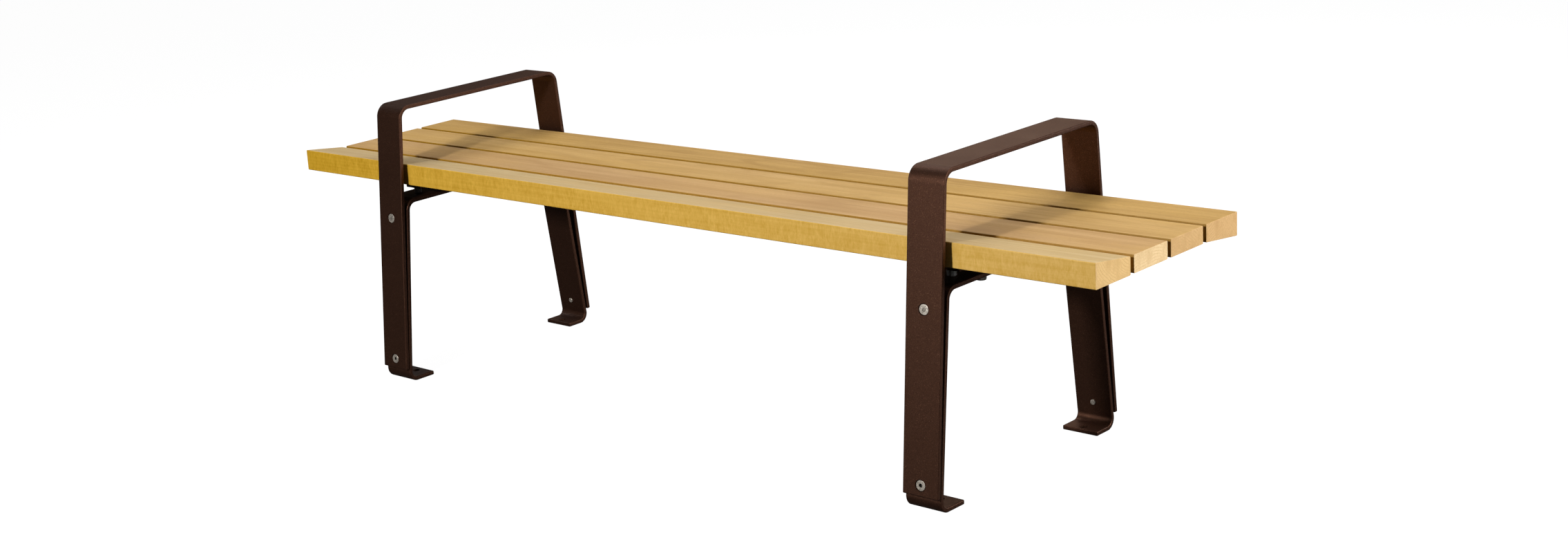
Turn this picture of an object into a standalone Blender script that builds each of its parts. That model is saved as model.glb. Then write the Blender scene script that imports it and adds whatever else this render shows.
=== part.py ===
"""Backless street bench: four wooden slats on two bent flat-bar hoops with inner frames.

Units are metres, +Z is up, +X runs along the slats to the right end and -Y is the front.
The origin is on the ground, under the middle of the seat.
"""

import math

import bmesh
import bpy
from mathutils import Matrix, Vector

# ---- seat slats -------------------------------------------------------------
SLAT_LENGTH = 1.900
SLAT_WIDTH = 0.0965
SLAT_GAP = 0.0095
SLAT_THICKNESS = 0.030
SEAT_TOP = 0.4300
FRONT_RISE = 0.0125
REAR_DROP = 0.0105
SLAT_EDGE_RADIUS = 0.0035
SLAT_END_ARRIS = 0.0008

# ---- flat bar of the hoops and frames ---------------------------------------
BAR_WIDTH = 0.070
BAR_THICKNESS = 0.008
BAR_EDGE_RADIUS = 0.0018
HOOP_CENTRE_X = 0.6548
BEND_STEPS = 8

# ---- hoops: armrest on top, legs leaning outwards ---------------------------
ARM_TOP = 0.560
HOOP_HALF_DEPTH_AT_TOP = 0.2170
HOOP_LEAN = 0.0889
HOOP_LEG_END = 0.0275
HOOP_OUTER_BEND = 0.0265

# ---- inner frames: beam under the seat, legs and inward feet -----------------
BEAM_TOP = 0.3715
FRAME_FRONT_FOOT_CORNER = -0.2583
FRAME_FRONT_LEAN = 0.1040
FRAME_REAR_FOOT_CORNER = 0.2562
FRAME_REAR_LEAN = 0.1250
FRAME_OUTER_BEND = 0.0240
FOOT_OUTER_BEND = 0.0200
FRONT_FOOT_TIP = -0.1928
REAR_FOOT_TIP = 0.1985
ANCHOR_HOLE_RADIUS = 0.0070
ANCHOR_HOLE_Y = 0.2105

# ---- countersunk bolts through hoop and frame --------------------------------
BOLT_UPPER_Z = 0.3343
BOLT_LOWER_Z = 0.0464
BOLT_HEAD_RADIUS = 0.0095
BOLT_HEAD_LAND = 0.0006
BOLT_HEAD_DEPTH = 0.0055
BOLT_SOCKET_FLATS = 0.0060
BOLT_SOCKET_DEPTH = 0.0035
M10_RADIUS = 0.0050
THREAD_CHAMFER = 0.0008
BOLT_STAND_OUT = 0.0018

# ---- seat rails and their fixings ---------------------------------------------
RAIL_WIDTH = 0.046
RAIL_BOTTOM = 0.3828
RAIL_HALF_DEPTH = 0.170
RAIL_EDGE_RADIUS = 0.0008
PAD_RADIUS = 0.0080
PAD_Y = 0.1590
RAIL_BOLT_OUTBOARD = 0.0135
RAIL_BOLT_Y = 0.0990
RAIL_BOLT_HEAD_FLATS = 0.0170
RAIL_BOLT_HEAD_HEIGHT = 0.0080
RAIL_BOLT_TOP = 0.3965
WASHER_RADIUS = 0.0105
WASHER_THICKNESS = 0.0025
SCREW_HEAD_RADIUS = 0.0052
SCREW_HEAD_HEIGHT = 0.0030
SCREW_RADIUS = 0.0025
SCREW_TOP = 0.4195
SCREW_OUTER_Y = 0.1350

GAP = 0.0003
ROUND_SIDES = 24
SMALL_SIDES = 12

SEAT_UNDERSIDE = SEAT_TOP - SLAT_THICKNESS
SEAT_HALF_DEPTH = (4 * SLAT_WIDTH + 3 * SLAT_GAP) / 2


# ---- general helpers ------------------------------------------------------------
def clear_scene():
    for item in list(bpy.data.objects):
        bpy.data.objects.remove(item, do_unlink=True)


def make_material(name, colour, roughness, metallic):
    material = bpy.data.materials.new(name)
    material.use_nodes = True
    shader = material.node_tree.nodes["Principled BSDF"]
    shader.inputs["Base Color"].default_value = (*colour, 1.0)
    shader.inputs["Roughness"].default_value = roughness
    shader.inputs["Metallic"].default_value = metallic
    return material


def mesh_from(bm, name, smooth_angle=35.0):
    bmesh.ops.recalc_face_normals(bm, faces=bm.faces)
    mesh = bpy.data.meshes.new(name)
    bm.to_mesh(mesh)
    bm.free()
    mesh.shade_smooth()
    mesh.set_sharp_from_angle(angle=math.radians(smooth_angle))
    return mesh


def add_object(name, mesh, material, placement=None):
    item = bpy.data.objects.new(name, mesh)
    bpy.context.scene.collection.objects.link(item)
    if placement is not None:
        item.matrix_world = placement
    if material is not None and not mesh.materials:
        mesh.materials.append(material)
    return item


def cut_with(target, bm, name):
    """Cut every solid in bm out of the target with one hidden cutter object."""
    cutter = add_object(name, mesh_from(bm, name), None)
    cutter.hide_render = True
    cutter.display_type = "WIRE"
    boolean = target.modifiers.new("holes", "BOOLEAN")
    boolean.operation = "DIFFERENCE"
    boolean.solver = "EXACT"
    boolean.object = cutter


def pointing(origin, direction):
    """Placement whose local +Z runs along direction from origin."""
    turn = direction.to_track_quat("Z", "Y").to_matrix().to_4x4()
    return Matrix.Translation(origin) @ turn


def round_radius(radius):
    return lambda angle: radius


def hex_radius(flats):
    """Distance from the centre of a hexagon to its edge, for any angle."""
    return lambda angle: flats / 2 / math.cos((angle % (math.pi / 3)) - math.pi / 6)


def add_ring(bm, radius_at, height, placement, sides):
    corners = []
    for step in range(sides):
        angle = math.tau * step / sides
        radius = radius_at(angle)
        point = Vector((radius * math.cos(angle), radius * math.sin(angle), height))
        corners.append(bm.verts.new(placement @ point))
    edges = []
    for step in range(sides):
        edges.append(bm.edges.new((corners[step - 1], corners[step])))
    return edges


def add_turned(bm, rings, placement=None, closed=False, sides=ROUND_SIDES):
    """Bridge a run of rings into a solid. A closed run makes a ring with a hole."""
    placement = placement or Matrix.Identity(4)
    loops = []
    for radius_at, height in rings:
        loops.append(add_ring(bm, radius_at, height, placement, sides))
    for first, second in zip(loops, loops[1:]):
        bmesh.ops.bridge_loops(bm, edges=first + second)
    if closed:
        bmesh.ops.bridge_loops(bm, edges=loops[-1] + loops[0])
    else:
        bmesh.ops.contextual_create(bm, geom=loops[0])
        bmesh.ops.contextual_create(bm, geom=loops[-1])


def turned_mesh(name, rings, closed=False, sides=ROUND_SIDES):
    bm = bmesh.new()
    add_turned(bm, rings, closed=closed, sides=sides)
    return mesh_from(bm, name)


def plain_pin(radius, bottom, top):
    return [(round_radius(radius), bottom), (round_radius(radius), top)]


def extrude_along_x(bm, half_length):
    """Turn the flat faces at x = -half_length into a solid that ends at +half_length."""
    result = bmesh.ops.extrude_face_region(bm, geom=list(bm.faces))
    moved = [item for item in result["geom"] if isinstance(item, bmesh.types.BMVert)]
    bmesh.ops.translate(bm, verts=moved, vec=(2 * half_length, 0, 0))
    bmesh.ops.recalc_face_normals(bm, faces=bm.faces)


def bevel_edges(bm, edges, width, steps):
    bmesh.ops.bevel(
        bm, geom=edges, offset=width, segments=steps, profile=0.5, affect="EDGES", clamp_overlap=True
    )


def corner_edges(bm, degrees=60.0):
    return [edge for edge in bm.edges if edge.calc_face_angle(0.0) > math.radians(degrees)]


# ---- flat bar bent along a path in the YZ plane -----------------------------------
def bent_sides(corners, bends):
    """Outer and inner line of a bar whose outer side turns clockwise at each corner."""
    outer = []
    inner = []

    def add_point(point, inward):
        outer.append(point)
        inner.append(point + inward * BAR_THICKNESS)

    points = [Vector(corner) for corner in corners]
    runs = [(after - before).normalized() for before, after in zip(points, points[1:])]
    inwards = [Vector((run.y, -run.x)) for run in runs]
    add_point(points[0], inwards[0])
    for index, radius in enumerate(bends):
        corner = points[index + 1]
        before, after = inwards[index], inwards[index + 1]
        turn = before.angle(after)
        centre = corner - runs[index] * radius * math.tan(turn / 2) + before * radius
        for step in range(BEND_STEPS + 1):
            angle = -turn * step / BEND_STEPS
            spoke = Matrix.Rotation(angle, 2) @ before
            add_point(centre - spoke * radius, spoke)
    add_point(points[-1], inwards[-1])
    return outer, inner


def bent_bar_mesh(name, corners, bends):
    outer, inner = bent_sides(corners, bends)
    bm = bmesh.new()
    left = -BAR_WIDTH / 2
    outer_verts = [bm.verts.new((left, p.x, p.y)) for p in outer]
    inner_verts = [bm.verts.new((left, p.x, p.y)) for p in inner]
    for k in range(len(outer) - 1):
        bm.faces.new((outer_verts[k], outer_verts[k + 1], inner_verts[k + 1], inner_verts[k]))
    extrude_along_x(bm, BAR_WIDTH / 2)
    bevel_edges(bm, corner_edges(bm), BAR_EDGE_RADIUS, 2)
    return mesh_from(bm, name)


def hoop_outer_y(z):
    return HOOP_HALF_DEPTH_AT_TOP + HOOP_LEAN * (ARM_TOP - z)


def make_hoop(name, centre_x, material):
    """Armrest hoop: a bar bent to an upside-down U with legs that lean outwards."""
    foot_y = hoop_outer_y(HOOP_LEG_END)
    corners = [
        (-foot_y, HOOP_LEG_END),
        (-HOOP_HALF_DEPTH_AT_TOP, ARM_TOP),
        (HOOP_HALF_DEPTH_AT_TOP, ARM_TOP),
        (foot_y, HOOP_LEG_END),
    ]
    mesh = bent_bar_mesh(name, corners, [HOOP_OUTER_BEND, HOOP_OUTER_BEND])
    return add_object(name, mesh, material, Matrix.Translation((centre_x, 0, 0)))


def make_frame(name, centre_x, material):
    """Inner frame: a beam under the seat, legs beside the hoop's legs, feet bent inwards."""
    corners = [
        (FRONT_FOOT_TIP, 0.0),
        (FRAME_FRONT_FOOT_CORNER, 0.0),
        (FRAME_FRONT_FOOT_CORNER + FRAME_FRONT_LEAN * BEAM_TOP, BEAM_TOP),
        (FRAME_REAR_FOOT_CORNER - FRAME_REAR_LEAN * BEAM_TOP, BEAM_TOP),
        (FRAME_REAR_FOOT_CORNER, 0.0),
        (REAR_FOOT_TIP, 0.0),
    ]
    bends = [FOOT_OUTER_BEND, FRAME_OUTER_BEND, FRAME_OUTER_BEND, FOOT_OUTER_BEND]
    mesh = bent_bar_mesh(name, corners, bends)
    return add_object(name, mesh, material, Matrix.Translation((centre_x, 0, 0)))


# ---- slats ------------------------------------------------------------------------
def slat_front_y(index):
    return -SEAT_HALF_DEPTH + index * (SLAT_WIDTH + SLAT_GAP)


def slat_underside(y):
    """Height of the seat's underside: level, then falling under the rear slat."""
    fall = max(0.0, y - slat_front_y(3)) * REAR_DROP / SLAT_WIDTH
    return SEAT_UNDERSIDE - fall


def make_slat(name, index, material):
    """One slat. The front one thickens upwards at the front, the rear one downwards at the rear."""
    front = slat_front_y(index)
    rear = front + SLAT_WIDTH
    rise = FRONT_RISE if index == 0 else 0.0
    section = [
        (front, SEAT_UNDERSIDE),
        (rear, slat_underside(rear)),
        (rear, SEAT_TOP),
        (front, SEAT_TOP + rise),
    ]
    bm = bmesh.new()
    bm.faces.new([bm.verts.new((-SLAT_LENGTH / 2, y, z)) for y, z in section])
    extrude_along_x(bm, SLAT_LENGTH / 2)
    along = [edge for edge in bm.edges if abs(edge.verts[0].co.x - edge.verts[1].co.x) > BAR_WIDTH]
    bevel_edges(bm, along, SLAT_EDGE_RADIUS, 3)
    bevel_edges(bm, corner_edges(bm), SLAT_END_ARRIS, 1)
    return add_object(name, mesh_from(bm, name), material)


# ---- hoop bolts -------------------------------------------------------------------
def bolt_placement(centre_x, side, z):
    """Placement on the hoop leg's outer face, pointing inwards, square to the face."""
    inward = Vector((0, -side, -HOOP_LEAN)).normalized()
    origin = Vector((centre_x, side * hoop_outer_y(z), z))
    return pointing(origin, inward)


def frame_inner_y(side, z):
    """Distance from the middle plane to the inner face of a frame leg."""
    if side < 0:
        return -(FRAME_FRONT_FOOT_CORNER + FRAME_FRONT_LEAN * z) - BAR_THICKNESS
    return FRAME_REAR_FOOT_CORNER - FRAME_REAR_LEAN * z - BAR_THICKNESS


def bolt_length(side, z):
    return hoop_outer_y(z) - frame_inner_y(side, z) + BOLT_STAND_OUT


def bolt_mesh(name, length):
    """Countersunk bolt with a hexagon socket; the head's face is at local z = 0."""
    rings = [
        (hex_radius(BOLT_SOCKET_FLATS), BOLT_SOCKET_DEPTH),
        (hex_radius(BOLT_SOCKET_FLATS), 0.0),
        (round_radius(BOLT_HEAD_RADIUS), 0.0),
        (round_radius(BOLT_HEAD_RADIUS), BOLT_HEAD_LAND),
        (round_radius(M10_RADIUS), BOLT_HEAD_DEPTH),
        (round_radius(M10_RADIUS), length - THREAD_CHAMFER),
        (round_radius(M10_RADIUS - THREAD_CHAMFER), length),
    ]
    return turned_mesh(name, rings)


def countersink_rings():
    """Cutter for a countersunk hole through the hoop's bar."""
    head = BOLT_HEAD_RADIUS + 0.0005
    shank = M10_RADIUS + GAP
    return [
        (round_radius(head), -0.0020),
        (round_radius(head), BOLT_HEAD_LAND + GAP),
        (round_radius(shank), BOLT_HEAD_DEPTH + 2 * GAP),
        (round_radius(shank), BAR_THICKNESS + 0.0020),
    ]


def hoop_bolt_sites():
    """(side, word, height word, height) for the four bolts of one hoop."""
    sites = []
    for side, where in ((-1, "front"), (1, "rear")):
        sites.append((side, where, "upper", BOLT_UPPER_Z))
        sites.append((side, where, "lower", BOLT_LOWER_Z))
    return sites


def drill_hoop(hoop, centre_x):
    bm = bmesh.new()
    for side, _, _, z in hoop_bolt_sites():
        add_turned(bm, countersink_rings(), bolt_placement(centre_x, side, z))
    cut_with(hoop, bm, hoop.name + "_cutter")


def drill_frame(frame, centre_x, outboard):
    """Bolt holes in the legs, anchor holes in the feet, rail-bolt holes in the beam."""
    bm = bmesh.new()
    shank = M10_RADIUS + GAP
    for side, _, _, z in hoop_bolt_sites():
        pin = plain_pin(shank, BAR_THICKNESS + 0.001, 0.042)
        add_turned(bm, pin, bolt_placement(centre_x, side, z))
    for side in (-1, 1):
        foot = Matrix.Translation((centre_x, side * ANCHOR_HOLE_Y, 0))
        add_turned(bm, plain_pin(ANCHOR_HOLE_RADIUS, -0.004, BAR_THICKNESS + 0.004), foot)
        beam = Matrix.Translation((centre_x + outboard * RAIL_BOLT_OUTBOARD, side * RAIL_BOLT_Y, 0))
        pin = plain_pin(shank, BEAM_TOP - BAR_THICKNESS - 0.004, BEAM_TOP + 0.004)
        add_turned(bm, pin, beam)
    cut_with(frame, bm, frame.name + "_cutter")


def make_hoop_bolts(side_word, centre_x, material):
    for side, where, height_word, z in hoop_bolt_sites():
        name = f"hoop_bolt_{side_word}_{where}_{height_word}"
        placement = bolt_placement(centre_x, side, z) @ Matrix.Translation((0, 0, GAP))
        add_object(name, bolt_mesh(name, bolt_length(side, z)), material, placement)


# ---- seat rails, pads and fixings ---------------------------------------------------
def make_rail(name, centre_x, material):
    """Cross rail between beam and slats; its top follows the slats' underside."""
    bend = slat_front_y(3)
    section = [
        (-RAIL_HALF_DEPTH, RAIL_BOTTOM),
        (RAIL_HALF_DEPTH, RAIL_BOTTOM),
        (RAIL_HALF_DEPTH, slat_underside(RAIL_HALF_DEPTH) - GAP),
        (bend, SEAT_UNDERSIDE - GAP),
        (-RAIL_HALF_DEPTH, SEAT_UNDERSIDE - GAP),
    ]
    bm = bmesh.new()
    bm.faces.new([bm.verts.new((-RAIL_WIDTH / 2, y, z)) for y, z in section])
    extrude_along_x(bm, RAIL_WIDTH / 2)
    bevel_edges(bm, corner_edges(bm), RAIL_EDGE_RADIUS, 1)
    return add_object(name, mesh_from(bm, name), material, Matrix.Translation((centre_x, 0, 0)))


def screw_sites(centre_x, outboard):
    """One screw up into each slat, on the rail's inboard half."""
    inner_y = slat_front_y(2) + SLAT_WIDTH / 2
    x = centre_x - outboard * RAIL_BOLT_OUTBOARD
    return [(x, -SCREW_OUTER_Y), (x, -inner_y), (x, inner_y), (x, SCREW_OUTER_Y)]


def drill_rail(rail, centre_x, outboard):
    bm = bmesh.new()
    for side in (-1, 1):
        x = centre_x + outboard * RAIL_BOLT_OUTBOARD
        hole = Matrix.Translation((x, side * RAIL_BOLT_Y, 0))
        add_turned(bm, plain_pin(M10_RADIUS + GAP, RAIL_BOTTOM - 0.004, RAIL_BOLT_TOP + GAP), hole)
    for x, y in screw_sites(centre_x, outboard):
        hole = Matrix.Translation((x, y, 0))
        pilot = plain_pin(SCREW_RADIUS + GAP, RAIL_BOTTOM - 0.004, SEAT_UNDERSIDE + 0.004)
        add_turned(bm, pilot, hole, sides=SMALL_SIDES)
    cut_with(rail, bm, rail.name + "_cutter")


def drill_slat(slat, index):
    """Pilot holes from below for the two screws that hold the slat."""
    bm = bmesh.new()
    for centre_x, outboard in ((-HOOP_CENTRE_X, -1), (HOOP_CENTRE_X, 1)):
        x, y = screw_sites(centre_x, outboard)[index]
        hole = Matrix.Translation((x, y, 0))
        pilot = plain_pin(SCREW_RADIUS + GAP, SEAT_UNDERSIDE - 0.010, SCREW_TOP + GAP)
        add_turned(bm, pilot, hole, sides=SMALL_SIDES)
    cut_with(slat, bm, slat.name + "_cutter")


def make_pads(side_word, centre_x, material):
    bottom = BEAM_TOP + GAP
    top = RAIL_BOTTOM - GAP
    edge = 0.0008
    rings = [
        (round_radius(PAD_RADIUS - edge), bottom),
        (round_radius(PAD_RADIUS), bottom + edge),
        (round_radius(PAD_RADIUS), top - edge),
        (round_radius(PAD_RADIUS - edge), top),
    ]
    for side, where in ((-1, "front"), (1, "rear")):
        name = f"rail_pad_{side_word}_{where}"
        placement = Matrix.Translation((centre_x, side * PAD_Y, 0))
        add_object(name, turned_mesh(name, rings, sides=SMALL_SIDES), material, placement)


def make_rail_bolts(side_word, centre_x, outboard, material):
    """Hexagon-head bolts pushed up through washer and beam into the rail."""
    washer_top = BEAM_TOP - BAR_THICKNESS - GAP
    washer_bottom = washer_top - WASHER_THICKNESS
    head_top = washer_bottom - GAP
    head_bottom = head_top - RAIL_BOLT_HEAD_HEIGHT
    bolt = [
        (round_radius(RAIL_BOLT_HEAD_FLATS * 0.47), head_bottom),
        (hex_radius(RAIL_BOLT_HEAD_FLATS), head_bottom + 0.0010),
        (hex_radius(RAIL_BOLT_HEAD_FLATS), head_top),
        (round_radius(M10_RADIUS), head_top),
        (round_radius(M10_RADIUS), RAIL_BOLT_TOP - THREAD_CHAMFER),
        (round_radius(M10_RADIUS - THREAD_CHAMFER), RAIL_BOLT_TOP),
    ]
    washer = [
        (round_radius(M10_RADIUS + GAP), washer_bottom),
        (round_radius(WASHER_RADIUS), washer_bottom),
        (round_radius(WASHER_RADIUS), washer_top),
        (round_radius(M10_RADIUS + GAP), washer_top),
    ]
    for side, where in ((-1, "front"), (1, "rear")):
        x = centre_x + outboard * RAIL_BOLT_OUTBOARD
        placement = Matrix.Translation((x, side * RAIL_BOLT_Y, 0))
        name = f"rail_bolt_{side_word}_{where}"
        add_object(name, turned_mesh(name, bolt), material, placement)
        name = f"rail_washer_{side_word}_{where}"
        add_object(name, turned_mesh(name, washer, closed=True), material, placement)


def make_slat_screws(side_word, centre_x, outboard, slat_words, material):
    head_top = RAIL_BOTTOM - GAP
    rings = [
        (round_radius(SCREW_HEAD_RADIUS * 0.70), head_top - SCREW_HEAD_HEIGHT),
        (round_radius(SCREW_HEAD_RADIUS), head_top - SCREW_HEAD_HEIGHT / 2),
        (round_radius(SCREW_HEAD_RADIUS), head_top),
        (round_radius(SCREW_RADIUS), head_top),
        (round_radius(SCREW_RADIUS), SCREW_TOP - SCREW_RADIUS),
        (round_radius(SCREW_RADIUS * 0.30), SCREW_TOP),
    ]
    for word, (x, y) in zip(slat_words, screw_sites(centre_x, outboard)):
        name = f"slat_screw_{side_word}_{word}"
        mesh = turned_mesh(name, rings, sides=SMALL_SIDES)
        add_object(name, mesh, material, Matrix.Translation((x, y, 0)))


# ---- the whole bench ------------------------------------------------------------------
def build_bench():
    clear_scene()
    wood = make_material("slat_wood", (0.43, 0.27, 0.115), 0.60, 0.0)
    coat = make_material("brown_coat", (0.040, 0.024, 0.018), 0.50, 0.0)
    steel = make_material("stainless", (0.60, 0.59, 0.57), 0.30, 1.0)
    plastic = make_material("grey_plastic", (0.22, 0.22, 0.22), 0.55, 0.0)

    slat_words = ("front", "mid_front", "mid_rear", "rear")
    for index, word in enumerate(slat_words):
        slat = make_slat(f"slat_{word}", index, wood)
        drill_slat(slat, index)

    for side_word, outboard in (("left", -1), ("right", 1)):
        centre_x = outboard * HOOP_CENTRE_X
        hoop = make_hoop(f"hoop_{side_word}", centre_x, coat)
        drill_hoop(hoop, centre_x)
        frame = make_frame(f"frame_{side_word}", centre_x, coat)
        drill_frame(frame, centre_x, outboard)
        rail = make_rail(f"rail_{side_word}", centre_x, coat)
        drill_rail(rail, centre_x, outboard)
        make_pads(side_word, centre_x, plastic)
        make_hoop_bolts(side_word, centre_x, steel)
        make_rail_bolts(side_word, centre_x, outboard, steel)
        make_slat_screws(side_word, centre_x, outboard, slat_words, steel)


build_bench()
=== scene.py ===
"""Looks for the backless bench: wood, powder-coated bars and stainless fasteners.

Units are metres, +Z is up, +X runs along the slats and -Y is the front.
"""

import math

import bmesh
import bpy
from mathutils import Matrix, Vector


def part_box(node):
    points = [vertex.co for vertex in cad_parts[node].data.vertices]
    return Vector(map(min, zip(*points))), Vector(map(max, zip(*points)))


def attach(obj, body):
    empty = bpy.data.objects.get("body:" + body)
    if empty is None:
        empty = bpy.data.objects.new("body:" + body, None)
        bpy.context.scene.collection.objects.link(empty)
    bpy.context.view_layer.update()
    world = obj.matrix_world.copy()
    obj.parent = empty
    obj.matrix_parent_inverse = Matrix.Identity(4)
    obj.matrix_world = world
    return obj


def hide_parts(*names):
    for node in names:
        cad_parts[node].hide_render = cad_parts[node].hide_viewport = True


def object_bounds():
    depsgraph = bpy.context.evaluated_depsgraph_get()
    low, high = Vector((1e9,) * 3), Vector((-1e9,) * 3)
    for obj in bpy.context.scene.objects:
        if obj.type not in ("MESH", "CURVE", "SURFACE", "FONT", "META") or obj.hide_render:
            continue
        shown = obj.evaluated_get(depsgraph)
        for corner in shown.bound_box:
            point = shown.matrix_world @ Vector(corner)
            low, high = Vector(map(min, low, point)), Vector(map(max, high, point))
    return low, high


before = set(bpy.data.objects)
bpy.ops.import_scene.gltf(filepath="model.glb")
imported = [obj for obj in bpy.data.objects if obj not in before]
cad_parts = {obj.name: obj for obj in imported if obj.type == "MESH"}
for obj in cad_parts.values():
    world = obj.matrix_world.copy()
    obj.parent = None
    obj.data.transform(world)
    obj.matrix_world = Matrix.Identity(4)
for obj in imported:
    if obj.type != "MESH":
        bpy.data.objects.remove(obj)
CAD_LOW, CAD_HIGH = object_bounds()

# ---- shape of the bars ---------------------------------------------------------
# A lean is how far a leg moves in Y per metre of height. A corner is where the frame's
# outer side meets the ground, before the bend.
BAR_THICKNESS = 0.008
BAR_EDGE_RADIUS = 0.0018
BAR_EDGE_STEPS = 4
BEND_STEPS = 20
HOOP_LEAN = 0.0889
HOOP_OUTER_BEND = 0.0265
FRAME_FRONT_CORNER = -0.2583
FRAME_FRONT_LEAN = 0.1040
FRAME_REAR_CORNER = 0.2562
FRAME_REAR_LEAN = 0.1250
FRAME_OUTER_BEND = 0.0240
FOOT_OUTER_BEND = 0.0200
FRONT_FOOT_TIP = -0.1928
REAR_FOOT_TIP = 0.1985
ANCHOR_HOLE_RADIUS = 0.0070
ANCHOR_HOLE_Y = 0.2105

# ---- slats -----------------------------------------------------------------------
FRONT_RISE = 0.0125
REAR_DROP = 0.0105
SLAT_THICKNESS = 0.030
SLAT_EDGE_RADIUS = 0.0022
SLAT_EDGE_STEPS = 5
SLAT_END_ARRIS = 0.0009
SLAT_END_STEPS = 2

# ---- bolts -----------------------------------------------------------------------
BOLT_UPPER_Z = 0.3343
BOLT_LOWER_Z = 0.0464
BOLT_HEAD_RADIUS = 0.0089
BOLT_HEAD_LAND = 0.0006
BOLT_HEAD_DEPTH = 0.0055
# Inset from the head's radius and depth below its face, round the edge of the head.
HEAD_ROUNDING = ((0.0005, 0.0), (0.0002, 0.00012), (0.0, 0.00035))
BOLT_RECESS = 0.0008
BOLT_STAND_OUT = 0.0018
COUNTERSINK_RADIUS = 0.0099
SOCKET_FLATS = 0.0062
SOCKET_RIM = 0.0006
SOCKET_RIM_DEPTH = 0.0004
SOCKET_DEPTH = 0.0048
SOCKET_TAPER = 0.98
SOCKET_TIP_RADIUS = 0.0006
SOCKET_TIP_DEPTH = 0.0004
# Where the painted shade inside the socket starts and ends, and how wide it reaches.
SOCKET_SHADE_DEPTH = 0.0010
SOCKET_SHADE_MARGIN = 0.0010
SOCKET_SHADE_RADIUS = SOCKET_FLATS / 1.8
M10_RADIUS = 0.0050
THREAD_CHAMFER = 0.0008

# ---- fits and fineness ---------------------------------------------------------------
GAP = 0.0003
# How far a drill reaches past the bar, so that it cuts clean through.
CUT_MARGIN = 0.0040
# The drill for the frame's bolt holes, from the hoop's inner side and its outer side.
FRAME_CUT_START = 0.0010
FRAME_CUT_END = 0.0420
ROUND_SIDES = 48
SHARP_ANGLE = math.radians(32.0)
CORNER_ANGLE = math.radians(60.0)


# ---- general helpers ----------------------------------------------------------------
def link(name, mesh):
    item = bpy.data.objects.new(name, mesh)
    bpy.context.scene.collection.objects.link(item)
    return item


def smooth(mesh):
    """Smooth shading with sharp edges where the faces turn by more than the limit."""
    mesh.shade_smooth()
    mesh.set_sharp_from_angle(angle=SHARP_ANGLE)


def to_mesh(bm, name):
    bmesh.ops.recalc_face_normals(bm, faces=bm.faces)
    mesh = bpy.data.meshes.new(name)
    bm.to_mesh(mesh)
    bm.free()
    smooth(mesh)
    return mesh


def cut(item, bm):
    """Cut the solids in bm out of the item and keep the plain result."""
    cutter = link("cutter", to_mesh(bm, "cutter"))
    boolean = item.modifiers.new("holes", "BOOLEAN")
    boolean.operation = "DIFFERENCE"
    boolean.solver = "EXACT"
    boolean.object = cutter
    depsgraph = bpy.context.evaluated_depsgraph_get()
    mesh = bpy.data.meshes.new_from_object(item.evaluated_get(depsgraph))
    item.modifiers.clear()
    item.data = mesh
    smooth(mesh)
    bpy.data.objects.remove(cutter)


def dress(item, material, node):
    """Give the item its material and let it stand for a CAD node."""
    item.data.materials.clear()
    item.data.materials.append(material)
    item.modifiers.new("normals", "WEIGHTED_NORMAL").keep_sharp = True
    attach(item, "root")
    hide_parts(node)


def pointing(origin, direction):
    """Placement at the origin with its own Z along the direction."""
    turn = direction.to_track_quat("Z", "Y").to_matrix().to_4x4()
    return Matrix.Translation(origin) @ turn


def round_radius(radius):
    """Radius of a circle at any angle."""
    return lambda angle: radius


def hex_radius(flats):
    """Radius of a hexagon, given across its flats, at any angle."""
    return lambda angle: flats / 2 / math.cos((angle % (math.pi / 3)) - math.pi / 6)


def add_turned(bm, rings, placement):
    """Closed solid through rings of (radius at angle, height)."""
    loops = []
    for radius_at, height in rings:
        corners = []
        for step in range(ROUND_SIDES):
            angle = math.tau * step / ROUND_SIDES
            radius = radius_at(angle)
            point = Vector((radius * math.cos(angle), radius * math.sin(angle), height))
            corners.append(bm.verts.new(placement @ point))
        loops.append([bm.edges.new((corners[i - 1], corners[i])) for i in range(ROUND_SIDES)])
    for first, second in zip(loops, loops[1:]):
        bmesh.ops.bridge_loops(bm, edges=first + second)
    bmesh.ops.contextual_create(bm, geom=loops[0])
    bmesh.ops.contextual_create(bm, geom=loops[-1])


def plain_pin(radius, bottom, top):
    """Rings of a plain round pin."""
    return [(round_radius(radius), bottom), (round_radius(radius), top)]


def extrude_along_x(bm, left, right):
    """Close a flat section at the left into a solid that ends at the right."""
    result = bmesh.ops.extrude_face_region(bm, geom=list(bm.faces))
    moved = [part for part in result["geom"] if isinstance(part, bmesh.types.BMVert)]
    bmesh.ops.translate(bm, verts=moved, vec=(right - left, 0, 0))
    bmesh.ops.recalc_face_normals(bm, faces=bm.faces)


def bevel(bm, edges, width, steps):
    bmesh.ops.bevel(
        bm, geom=edges, offset=width, segments=steps, profile=0.5, affect="EDGES", clamp_overlap=True
    )


def corner_edges(bm):
    """The edges where two faces meet at a corner and not along a bend."""
    return [edge for edge in bm.edges if edge.calc_face_angle(0.0) > CORNER_ANGLE]


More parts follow.
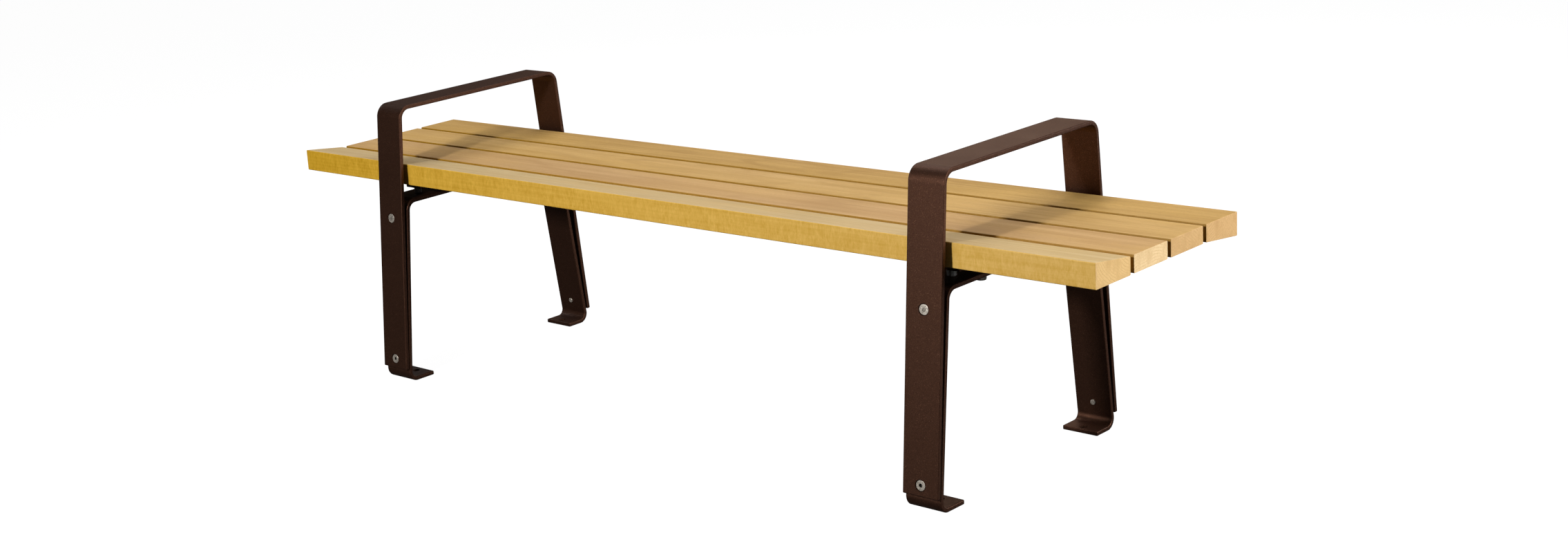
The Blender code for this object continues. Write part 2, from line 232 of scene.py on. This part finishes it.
# ---- node helpers ---------------------------------------------------------------------
class Graph:
    """A small writer for a material's nodes."""

    def __init__(self, name):
        self.material = bpy.data.materials.new(name)
        self.material.use_nodes = True
        self.tree = self.material.node_tree
        self.shader = self.tree.nodes["Principled BSDF"]

    def node(self, kind, **settings):
        """New node with the settings given by name."""
        made = self.tree.nodes.new(kind)
        for key, value in settings.items():
            setattr(made, key, value)
        return made

    def join(self, source, target):
        self.tree.links.new(source, target)

    def feed(self, socket, value):
        """Link a socket or set a plain value."""
        if isinstance(value, bpy.types.NodeSocket):
            self.join(value, socket)
        else:
            socket.default_value = value

    def coords(self, scale, offset=(0, 0, 0)):
        """Object coordinates, stretched and shifted."""
        place = self.node("ShaderNodeTexCoord")
        mapping = self.node("ShaderNodeMapping")
        mapping.inputs["Scale"].default_value = scale
        mapping.inputs["Location"].default_value = offset
        self.join(place.outputs["Object"], mapping.inputs["Vector"])
        return mapping.outputs["Vector"]

    def noise(self, vector, scale=1.0, detail=3.0, roughness=0.5, distortion=0.0):
        made = self.node("ShaderNodeTexNoise")
        self.join(vector, made.inputs["Vector"])
        made.inputs["Scale"].default_value = scale
        made.inputs["Detail"].default_value = detail
        made.inputs["Roughness"].default_value = roughness
        made.inputs["Distortion"].default_value = distortion
        return made.outputs["Fac"]

    def ramp(self, value, low, high, out_low=0.0, out_high=1.0):
        """Map the value from low..high to out_low..out_high and clamp it."""
        made = self.node("ShaderNodeMapRange")
        made.clamp = True
        self.feed(made.inputs["Value"], value)
        limits = {"From Min": low, "From Max": high, "To Min": out_low, "To Max": out_high}
        for key, number in limits.items():
            made.inputs[key].default_value = number
        return made.outputs["Result"]

    def math(self, operation, first, second=0.0):
        made = self.node("ShaderNodeMath", operation=operation)
        self.feed(made.inputs[0], first)
        self.feed(made.inputs[1], second)
        return made.outputs[0]

    def mix(self, factor, first, second):
        """Blend two colours, each a socket or an RGB triple."""
        made = self.node("ShaderNodeMix", data_type="RGBA")
        self.feed(made.inputs[0], factor)
        for index, colour in ((6, first), (7, second)):
            if isinstance(colour, bpy.types.NodeSocket):
                self.join(colour, made.inputs[index])
            else:
                made.inputs[index].default_value = (*colour, 1.0)
        return made.outputs[2]

    def axis(self, source, name):
        split = self.node("ShaderNodeSeparateXYZ")
        self.join(source, split.inputs[0])
        return split.outputs[name]

    def bump(self, height, strength, distance):
        made = self.node("ShaderNodeBump")
        made.inputs["Strength"].default_value = strength
        made.inputs["Distance"].default_value = distance
        self.join(height, made.inputs["Height"])
        self.join(made.outputs["Normal"], self.shader.inputs["Normal"])


# ---- wood ---------------------------------------------------------------------------
SIDE_LEFT_LIGHT = (0.71, 0.41, 0.033)
SIDE_LEFT_DARK = (0.50, 0.265, 0.007)
SIDE_RIGHT_LIGHT = (0.76, 0.48, 0.135)
SIDE_RIGHT_DARK = (0.60, 0.34, 0.050)
# Painted shade: deep brown that slat sides are mixed towards, standing in for the shade inside the gaps
# between slats.
SIDE_PAINTED_SHADE = (0.16, 0.065, 0.006)
SIDE_FADE_HALF = 0.9
# Share of painted shade on the sides of every slat behind the front one.
INNER_SHADE = 0.62
RING_SPACING = 0.0046
RING_WOBBLE = 0.014
# Red, green and blue of the dark ring as a share of the light ring's.
RING_SHARE = (0.72, 0.62, 0.48)
# Each slat's light and dark top colours, its end's light colour and the (y, z) of its pith.
SLAT_COLOURS = {
    "front": ((0.69, 0.53, 0.290), (0.56, 0.395, 0.185), (0.80, 0.54, 0.235), (-0.06, 0.54)),
    "mid_front": ((0.64, 0.410, 0.190), (0.49, 0.285, 0.115), (0.87, 0.64, 0.350), (-0.06, 0.30)),
    "mid_rear": ((0.66, 0.43, 0.175), (0.50, 0.295, 0.095), (0.67, 0.43, 0.190), (0.02, 0.36)),
    "rear": ((0.60, 0.375, 0.130), (0.43, 0.248, 0.070), (0.66, 0.42, 0.185), (0.08, 0.52)),
}


def side_colour(graph, shift, fibre, shade):
    """Yellow side with cross figure, deeper at the slat's left end and darkened by painted shade for the
    gaps between slats.
    """
    across = graph.noise(graph.coords((300, 96, 100), shift), detail=4, roughness=0.6, distortion=0.8)
    broad = graph.noise(graph.coords((70, 26, 28), shift), detail=3, roughness=0.6, distortion=1.2)
    lines = graph.noise(graph.coords((3, 240, 240), shift), detail=3, roughness=0.55)
    patch = graph.noise(graph.coords((5, 24, 24), shift), detail=3)
    place = graph.node("ShaderNodeTexCoord").outputs["Object"]
    along = graph.ramp(graph.axis(place, "X"), -SIDE_FADE_HALF, SIDE_FADE_HALF)
    light = graph.mix(along, SIDE_LEFT_LIGHT, SIDE_RIGHT_LIGHT)
    dark = graph.mix(along, SIDE_LEFT_DARK, SIDE_RIGHT_DARK)
    figure = graph.math("ADD", graph.math("MULTIPLY", across, 0.42), graph.math("MULTIPLY", broad, 0.33))
    figure = graph.math("ADD", figure, graph.math("MULTIPLY", lines, 0.25))
    side = graph.mix(graph.ramp(figure, 0.36, 0.62), dark, light)
    side = graph.mix(graph.ramp(patch, 0.48, 0.75, 0.0, 0.50), side, light)
    side = graph.mix(graph.ramp(fibre, 0.60, 0.75, 0.0, 0.30), side, dark)
    # Painted shade: mix the side towards deep brown by the shade amount, for the shade inside the gaps
    # between slats.
    side = graph.mix(shade, side, SIDE_PAINTED_SHADE)
    return side, across


def end_colour(graph, shift, pith, light):
    """Growth rings round the pith, with soft blotches."""
    dark = tuple(channel * share for channel, share in zip(light, RING_SHARE))
    place = graph.node("ShaderNodeTexCoord").outputs["Object"]
    offset = graph.node("ShaderNodeVectorMath", operation="SUBTRACT")
    graph.join(place, offset.inputs[0])
    offset.inputs[1].default_value = (0.0, *pith)
    flat = graph.node("ShaderNodeVectorMath", operation="MULTIPLY")
    graph.join(offset.outputs[0], flat.inputs[0])
    flat.inputs[1].default_value = (0.0, 1.0, 1.0)
    length = graph.node("ShaderNodeVectorMath", operation="LENGTH")
    graph.join(flat.outputs[0], length.inputs[0])
    wobble = graph.noise(graph.coords((0.0, 22, 22), shift), detail=2)
    bend = graph.math("MULTIPLY", wobble, RING_WOBBLE)
    radius = graph.math("ADD", length.outputs["Value"], bend)
    rings = graph.math("SINE", graph.math("MULTIPLY", radius, math.tau / RING_SPACING))
    speck = graph.noise(graph.coords((0.0, 420, 420), shift), detail=2)
    blotch = graph.noise(graph.coords((0.0, 48, 30), shift), detail=2)
    ring_lines = graph.ramp(rings, 0.45, 1.0, 0.0, 0.42)
    faint = graph.math("MULTIPLY", ring_lines, graph.ramp(blotch, 0.62, 0.40))
    ringed = graph.math("ADD", faint, graph.ramp(speck, 0.45, 0.75, 0.0, 0.40))
    end = graph.mix(ringed, light, dark)
    return graph.mix(graph.ramp(blotch, 0.46, 0.74, 0.0, 0.60), end, dark)


def wood_material(name, seed, light, dark, end_light, pith, shade):
    """Planed hardwood: streaked top, cross-figured yellow sides, ringed end grain."""
    graph = Graph(name)
    shift = (seed * 3.1, seed * 1.7, seed * 2.3)
    fibre = graph.noise(graph.coords((5, 330, 330), shift), detail=4, roughness=0.6)
    streak = graph.noise(graph.coords((1.6, 40, 40), shift), detail=4, roughness=0.6, distortion=0.9)
    cloud = graph.noise(graph.coords((2.6, 12, 12), shift), detail=2)
    pores = graph.noise(graph.coords((70, 900, 900), shift), detail=2)
    ray = graph.noise(graph.coords((150, 420, 420), shift), detail=3, roughness=0.65)
    stain = graph.noise(graph.coords((6, 22, 22), (seed * 5.3, 1.0, 4.0)), detail=3, distortion=1.2)

    grain = graph.math("ADD", graph.math("MULTIPLY", fibre, 0.45), graph.math("MULTIPLY", streak, 0.55))
    top = graph.mix(graph.ramp(grain, 0.36, 0.64), dark, light)
    top = graph.mix(graph.ramp(cloud, 0.35, 0.70, 0.0, 0.30), top, SIDE_RIGHT_LIGHT)
    top = graph.mix(graph.ramp(stain, 0.52, 0.70, 0.0, 0.60), top, dark)
    top = graph.mix(graph.ramp(ray, 0.50, 0.68, 0.0, 0.45), top, dark)
    top = graph.mix(graph.ramp(pores, 0.62, 0.75, 0.0, 0.25), top, dark)

    side, across = side_colour(graph, shift, fibre, shade)
    end = end_colour(graph, shift, pith, end_light)
    normal = graph.node("ShaderNodeTexCoord").outputs["Normal"]
    facing_y = graph.ramp(graph.math("ABSOLUTE", graph.axis(normal, "Y")), 0.35, 0.70)
    facing_x = graph.ramp(graph.math("ABSOLUTE", graph.axis(normal, "X")), 0.55, 0.80)
    colour = graph.mix(facing_y, top, side)
    colour = graph.mix(facing_x, colour, end)
    graph.join(colour, graph.shader.inputs["Base Color"])
    graph.join(graph.ramp(grain, 0.3, 0.7, 0.62, 0.50), graph.shader.inputs["Roughness"])
    graph.shader.inputs["Specular IOR Level"].default_value = 0.18
    relief = graph.math("ADD", graph.math("MULTIPLY", fibre, 0.6), graph.math("MULTIPLY", across, 0.4))
    graph.bump(relief, 0.35, 0.0006)
    return graph.material


# ---- coat, steel and plastic ------------------------------------------------------------
def coat_material(name):
    """Chocolate-brown powder coat with a fine metallic speckle."""
    graph = Graph(name)
    grit = graph.noise(graph.coords((1, 1, 1)), scale=1500, detail=2, roughness=0.6)
    fleck = graph.noise(graph.coords((1, 1, 1), (3.0, 1.0, 2.0)), scale=620, detail=2, roughness=0.6)
    soft = graph.noise(graph.coords((1, 1, 1), (7.0, 4.0, 2.0)), scale=9, detail=2)
    colour = graph.mix(graph.ramp(grit, 0.36, 0.66), (0.038, 0.016, 0.009), (0.104, 0.045, 0.026))
    colour = graph.mix(graph.ramp(fleck, 0.58, 0.72, 0.0, 0.60), colour, (0.220, 0.105, 0.065))
    colour = graph.mix(graph.ramp(soft, 0.3, 0.7, 0.0, 0.30), colour, (0.056, 0.024, 0.014))
    graph.join(colour, graph.shader.inputs["Base Color"])
    graph.join(graph.ramp(soft, 0.3, 0.7, 0.44, 0.50), graph.shader.inputs["Roughness"])
    graph.shader.inputs["Metallic"].default_value = 0.84
    graph.shader.inputs["Specular IOR Level"].default_value = 0.30
    graph.bump(grit, 0.30, 0.0004)
    return graph.material


def steel_material(name, dark, light, roughness):
    """Turned steel, lightly marked."""
    graph = Graph(name)
    marks = graph.noise(graph.coords((1, 1, 1)), scale=900, detail=3, roughness=0.6)
    soft = graph.noise(graph.coords((1, 1, 1), (2.0, 5.0, 1.0)), scale=420, detail=3, roughness=0.6)
    colour = graph.mix(graph.ramp(soft, 0.38, 0.62), dark, light)
    graph.join(colour, graph.shader.inputs["Base Color"])
    gloss = graph.ramp(marks, 0.3, 0.7, roughness - 0.08, roughness + 0.08)
    graph.join(gloss, graph.shader.inputs["Roughness"])
    graph.shader.inputs["Metallic"].default_value = 0.70
    graph.bump(marks, 0.20, 0.0002)
    return graph.material


def plastic_material(name):
    """Grainy grey plastic."""
    graph = Graph(name)
    grain = graph.noise(graph.coords((1, 1, 1)), scale=500, detail=2)
    colour = graph.mix(graph.ramp(grain, 0.3, 0.7), (0.17, 0.17, 0.17), (0.25, 0.25, 0.24))
    graph.join(colour, graph.shader.inputs["Base Color"])
    graph.shader.inputs["Roughness"].default_value = 0.55
    graph.bump(grain, 0.1, 0.0003)
    return graph.material


# ---- bars ---------------------------------------------------------------------------
def bent_bar(name, left, right, corners, bends):
    """Flat bar whose outer side follows the corners, turning clockwise at each bend."""
    points = [Vector(corner) for corner in corners]
    runs = [(after - before).normalized() for before, after in zip(points, points[1:])]
    inwards = [Vector((run.y, -run.x)) for run in runs]
    outer = [points[0]]
    inner = [points[0] + inwards[0] * BAR_THICKNESS]
    for index, radius in enumerate(bends):
        before, after = inwards[index], inwards[index + 1]
        turn = before.angle(after)
        centre = points[index + 1] - runs[index] * radius * math.tan(turn / 2) + before * radius
        for step in range(BEND_STEPS + 1):
            spoke = Matrix.Rotation(-turn * step / BEND_STEPS, 2) @ before
            outer.append(centre - spoke * radius)
            inner.append(centre - spoke * (radius - BAR_THICKNESS))
    outer.append(points[-1])
    inner.append(points[-1] + inwards[-1] * BAR_THICKNESS)
    bm = bmesh.new()
    outer_verts = [bm.verts.new((left, *point)) for point in outer]
    inner_verts = [bm.verts.new((left, *point)) for point in inner]
    for k in range(len(outer) - 1):
        bm.faces.new((outer_verts[k], outer_verts[k + 1], inner_verts[k + 1], inner_verts[k]))
    extrude_along_x(bm, left, right)
    bevel(bm, corner_edges(bm), BAR_EDGE_RADIUS, BAR_EDGE_STEPS)
    return link(name, to_mesh(bm, name))


class Hoop:
    """Sizes of one hoop, read from its CAD node."""

    def __init__(self, side):
        low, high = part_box("hoop_" + side)
        self.side = side
        self.left, self.right = low.x, high.x
        self.centre_x = (low.x + high.x) / 2
        self.top = high.z
        self.end = low.z + BAR_THICKNESS * math.sin(math.atan(HOOP_LEAN))
        self.top_half = high.y - HOOP_LEAN * (self.top - self.end)

    def outer_y(self, z):
        """How far the leg's outer side is from the middle at a height."""
        return self.top_half + HOOP_LEAN * (self.top - z)

    def bolt_placement(self, end, z):
        """Placement on the leg's outer side, square to it and pointing inwards."""
        inward = Vector((0, -end, -HOOP_LEAN)).normalized()
        return pointing(Vector((self.centre_x, end * self.outer_y(z), z)), inward)


# The sign of the bench's end in Y, the words for the bolt's place and its height.
BOLT_SITES = (
    (-1, "front", "upper", BOLT_UPPER_Z),
    (-1, "front", "lower", BOLT_LOWER_Z),
    (1, "rear", "upper", BOLT_UPPER_Z),
    (1, "rear", "lower", BOLT_LOWER_Z),
)


def make_hoop(hoop, material):
    """Armrest and outer legs in one bent bar, with the bolts' countersunk holes."""
    corners = [
        (-hoop.outer_y(hoop.end), hoop.end),
        (-hoop.top_half, hoop.top),
        (hoop.top_half, hoop.top),
        (hoop.outer_y(hoop.end), hoop.end),
    ]
    item = bent_bar(f"{hoop.side}_hoop", hoop.left, hoop.right, corners, [HOOP_OUTER_BEND] * 2)
    mouth = round_radius(COUNTERSINK_RADIUS + GAP)
    shank = round_radius(M10_RADIUS + GAP)
    rings = [
        (mouth, -CUT_MARGIN / 2),
        (mouth, 0.0),
        (round_radius(COUNTERSINK_RADIUS), BOLT_HEAD_LAND + BOLT_RECESS + GAP),
        (shank, BOLT_HEAD_DEPTH + BOLT_RECESS + GAP),
        (shank, BAR_THICKNESS + CUT_MARGIN / 2),
    ]
    bm = bmesh.new()
    for end, _, _, z in BOLT_SITES:
        add_turned(bm, rings, hoop.bolt_placement(end, z))
    cut(item, bm)
    dress(item, material, f"hoop_{hoop.side}")


def frame_outer_y(end, z):
    """How far the frame's outer side is from the middle at a height, front or rear."""
    if end < 0:
        return -(FRAME_FRONT_CORNER + FRAME_FRONT_LEAN * z)
    return FRAME_REAR_CORNER - FRAME_REAR_LEAN * z


def make_frame(hoop, material):
    """Beam, inner legs and feet in one bent bar, with its holes."""
    low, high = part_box(f"frame_{hoop.side}")
    beam_top = high.z
    corners = [
        (FRONT_FOOT_TIP, low.z),
        (FRAME_FRONT_CORNER, low.z),
        (-frame_outer_y(-1, beam_top), beam_top),
        (frame_outer_y(1, beam_top), beam_top),
        (FRAME_REAR_CORNER, low.z),
        (REAR_FOOT_TIP, low.z),
    ]
    bends = [FOOT_OUTER_BEND, FRAME_OUTER_BEND, FRAME_OUTER_BEND, FOOT_OUTER_BEND]
    item = bent_bar(f"{hoop.side}_frame", low.x, high.x, corners, bends)
    bm = bmesh.new()
    shank = M10_RADIUS + GAP
    for end, _, _, z in BOLT_SITES:
        drill = plain_pin(shank, BAR_THICKNESS + FRAME_CUT_START, FRAME_CUT_END)
        add_turned(bm, drill, hoop.bolt_placement(end, z))
    for y in (-ANCHOR_HOLE_Y, ANCHOR_HOLE_Y):
        place = Matrix.Translation((hoop.centre_x, y, 0))
        drill = plain_pin(ANCHOR_HOLE_RADIUS, -CUT_MARGIN, BAR_THICKNESS + CUT_MARGIN)
        add_turned(bm, drill, place)
    for end_word in ("front", "rear"):
        bolt_low, bolt_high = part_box(f"rail_bolt_{hoop.side}_{end_word}")
        middle = (bolt_low + bolt_high) / 2
        place = Matrix.Translation((middle.x, middle.y, 0))
        drill = plain_pin(shank, beam_top - BAR_THICKNESS - CUT_MARGIN, beam_top + CUT_MARGIN)
        add_turned(bm, drill, place)
    cut(item, bm)
    dress(item, material, f"frame_{hoop.side}")


def make_hoop_bolts(hoop, material, socket_shade_material):
    """Countersunk bolts with a rounded head and a hexagon socket whose inside is painted near-black as
    painted shade in the recess.
    """
    for end, end_word, height_word, z in BOLT_SITES:
        name = f"{hoop.side}_{end_word}_{height_word}_bolt"
        reach = hoop.outer_y(z) - (frame_outer_y(end, z) - BAR_THICKNESS) + BOLT_STAND_OUT
        socket = hex_radius(SOCKET_FLATS)
        rings = [
            (round_radius(SOCKET_TIP_RADIUS), SOCKET_DEPTH + SOCKET_TIP_DEPTH),
            (hex_radius(SOCKET_FLATS * SOCKET_TAPER), SOCKET_DEPTH),
            (socket, SOCKET_SHADE_DEPTH),
            (socket, SOCKET_RIM_DEPTH),
            (hex_radius(SOCKET_FLATS + SOCKET_RIM), 0.0),
            *[(round_radius(BOLT_HEAD_RADIUS - inset), depth) for inset, depth in HEAD_ROUNDING],
            (round_radius(BOLT_HEAD_RADIUS), BOLT_HEAD_LAND),
            (round_radius(M10_RADIUS), BOLT_HEAD_DEPTH),
            (round_radius(M10_RADIUS), reach - THREAD_CHAMFER),
            (round_radius(M10_RADIUS - THREAD_CHAMFER), reach),
        ]
        bm = bmesh.new()
        placement = hoop.bolt_placement(end, z) @ Matrix.Translation((0, 0, BOLT_RECESS))
        add_turned(bm, rings, placement)
        item = link(name, to_mesh(bm, name))
        dress(item, material, f"hoop_bolt_{hoop.side}_{end_word}_{height_word}")
        # Painted shade: faces deep inside the socket get the near-black steel, standing in for the shade
        # in the recess.
        item.data.materials.append(socket_shade_material)
        into_bolt = placement.inverted()
        for face in item.data.polygons:
            centre = into_bolt @ face.center
            in_depth = SOCKET_SHADE_DEPTH < centre.z < SOCKET_DEPTH + SOCKET_SHADE_MARGIN
            if in_depth and centre.xy.length < SOCKET_SHADE_RADIUS:
                face.material_index = 1


# ---- slats -------------------------------------------------------------------------
def make_slat(word, material):
    """Slat with rounded long edges; the front one rises and the rear one drops."""
    low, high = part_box("slat_" + word)
    rise = FRONT_RISE if word == "front" else 0.0
    drop = REAR_DROP if word == "rear" else 0.0
    top = high.z - rise
    underside = top - SLAT_THICKNESS
    section = [(low.y, underside), (high.y, underside - drop), (high.y, top), (low.y, high.z)]
    bm = bmesh.new()
    bm.faces.new([bm.verts.new((low.x, y, z)) for y, z in section])
    extrude_along_x(bm, low.x, high.x)
    along = [edge for edge in bm.edges if edge.calc_length() > (high.x - low.x) / 2]
    bevel(bm, along, SLAT_EDGE_RADIUS, SLAT_EDGE_STEPS)
    bevel(bm, corner_edges(bm), SLAT_END_ARRIS, SLAT_END_STEPS)
    item = link(f"{word}_slat", to_mesh(bm, word))
    dress(item, material, "slat_" + word)


# ---- the bench ---------------------------------------------------------------------
coat = coat_material("brown_powder_coat")
steel = steel_material("stainless_steel", (0.36, 0.32, 0.265), (0.74, 0.67, 0.58), 0.42)
# Painted shade: near-black steel for the inside of the bolts' hexagon sockets, standing in for the shade
# there.
socket_shade_steel = steel_material("painted_shade_steel", (0.015, 0.012, 0.010), (0.060, 0.050, 0.040), 0.40)
dull_steel = steel_material("dull_steel", (0.10, 0.09, 0.075), (0.21, 0.19, 0.165), 0.52)
plastic = plastic_material("grey_plastic_pad")

for seed, (word, colours) in enumerate(SLAT_COLOURS.items(), start=1):
    # Every slat but the front one gets painted shade on its sides, for the shade in the gaps between
    # slats.
    shade = 0.0 if word == "front" else INNER_SHADE
    make_slat(word, wood_material(f"wood_{word}", seed, *colours, shade))

for side in ("left", "right"):
    hoop = Hoop(side)
    make_hoop(hoop, coat)
    make_frame(hoop, coat)
    make_hoop_bolts(hoop, steel, socket_shade_steel)

# These CAD nodes keep their shape and only get a material.
KEPT_KINDS = (
    (("rail_left", "rail_right"), coat),
    (("rail_pad",), plastic),
    (("rail_bolt", "rail_washer", "slat_screw"), dull_steel),
)
for node_name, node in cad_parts.items():
    for starts, material in KEPT_KINDS:
        if node_name.startswith(starts):
            for material_slot in node.material_slots:
                material_slot.material = material

# ---- floor and backdrop --------------------------------------------------------------
WHITE = (1.0, 1.0, 1.0)
FLOOR_HALF = 40.0
FLOOR_DROP = 0.0005
FLOOR_GREY = 0.12
FLOOR_GLOW = 0.97
BACKDROP_RADIUS = 38.0
BACKDROP_GREY = 0.0
BACKDROP_GLOW = 1.0


def stage_piece(name, bm, grey, glow):
    """A plain white stage piece that lights nothing and shows in no reflection."""
    mesh = bpy.data.meshes.new(name)
    bm.to_mesh(mesh)
    bm.free()
    paint = Graph(name)
    paint.shader.inputs["Base Color"].default_value = (grey, grey, grey, 1.0)
    paint.shader.inputs["Roughness"].default_value = 0.9
    paint.shader.inputs["Specular IOR Level"].default_value = 0.0
    paint.shader.inputs["Emission Color"].default_value = (*WHITE, 1.0)
    paint.shader.inputs["Emission Strength"].default_value = glow
    mesh.materials.append(paint.material)
    item = link(name, mesh)
    item.visible_glossy = False
    item.visible_diffuse = False
    return item


floor_bm = bmesh.new()
bmesh.ops.create_grid(floor_bm, x_segments=1, y_segments=1, size=FLOOR_HALF)
floor = stage_piece("floor", floor_bm, FLOOR_GREY, FLOOR_GLOW)
floor.location.z = CAD_LOW.z - FLOOR_DROP

backdrop_bm = bmesh.new()
bmesh.ops.create_uvsphere(backdrop_bm, u_segments=48, v_segments=24, radius=BACKDROP_RADIUS)
backdrop = stage_piece("backdrop", backdrop_bm, BACKDROP_GREY, BACKDROP_GLOW)
backdrop.visible_shadow = False
backdrop.visible_transmission = False
backdrop.visible_volume_scatter = False


# ---- light --------------------------------------------------------------------------
WORLD_GLOW = 0.05


def area_light(name, place, target, size, watts, colour=WHITE):
    """Rectangular light at a place, turned to its target."""
    data = bpy.data.lights.new(name, "AREA")
    data.shape = "RECTANGLE"
    data.size, data.size_y = size
    data.energy = watts
    data.color = colour
    lamp = bpy.data.objects.new(name, data)
    bpy.context.scene.collection.objects.link(lamp)
    lamp.location = place
    lamp.rotation_euler = (Vector(target) - Vector(place)).to_track_quat("-Z", "Y").to_euler()


area_light("key", (0.28, -3.67, 1.77), (0.0, 0.0, 0.40), (0.30, 0.30), 115.0)
area_light("low", (-0.9, -3.3, 0.55), (0.2, 0.0, 0.30), (0.8, 0.6), 11.0)
area_light("top", (0.1, 0.9, 3.2), (0.0, 0.0, 0.40), (4.0, 2.2), 70.0)
area_light("right", (3.4, 0.9, 1.1), (0.6, 0.0, 0.40), (1.0, 1.4), 85.0)
area_light("back", (-2.0, 3.6, 1.5), (0.0, 0.0, 0.45), (2.6, 1.2), 10.0, (1.0, 0.68, 0.48))
area_light("rear", (1.8, 3.6, 0.8), (0.2, 0.0, 0.30), (1.6, 0.8), 26.0)
area_light("left", (-3.5, 0.5, 0.9), (-0.5, 0.0, 0.35), (1.0, 1.2), 24.0)

world = bpy.data.worlds.new("studio")
bpy.context.scene.world = world
world.use_nodes = True
background = world.node_tree.nodes["Background"]
background.inputs["Color"].default_value = (*WHITE, 1.0)
background.inputs["Strength"].default_value = WORLD_GLOW
bpy.context.scene.view_settings.view_transform = "Standard"

# ---- camera -------------------------------------------------------------------------
CAMERA_PLACE = (2.67539, -2.91717, 1.30426)
CAMERA_DEGREES = (75.2742, 4.5500, 45.8702)

camera_data = bpy.data.cameras.new("camera")
camera_data.sensor_fit = "HORIZONTAL"
camera_data.sensor_width = 36.0
camera_data.lens = 50.0
camera_data.shift_x = 0.15
camera = bpy.data.objects.new("camera", camera_data)
bpy.context.scene.collection.objects.link(camera)
camera.location = CAMERA_PLACE
camera.rotation_euler = [math.radians(angle) for angle in CAMERA_DEGREES]
bpy.context.scene.camera = camera
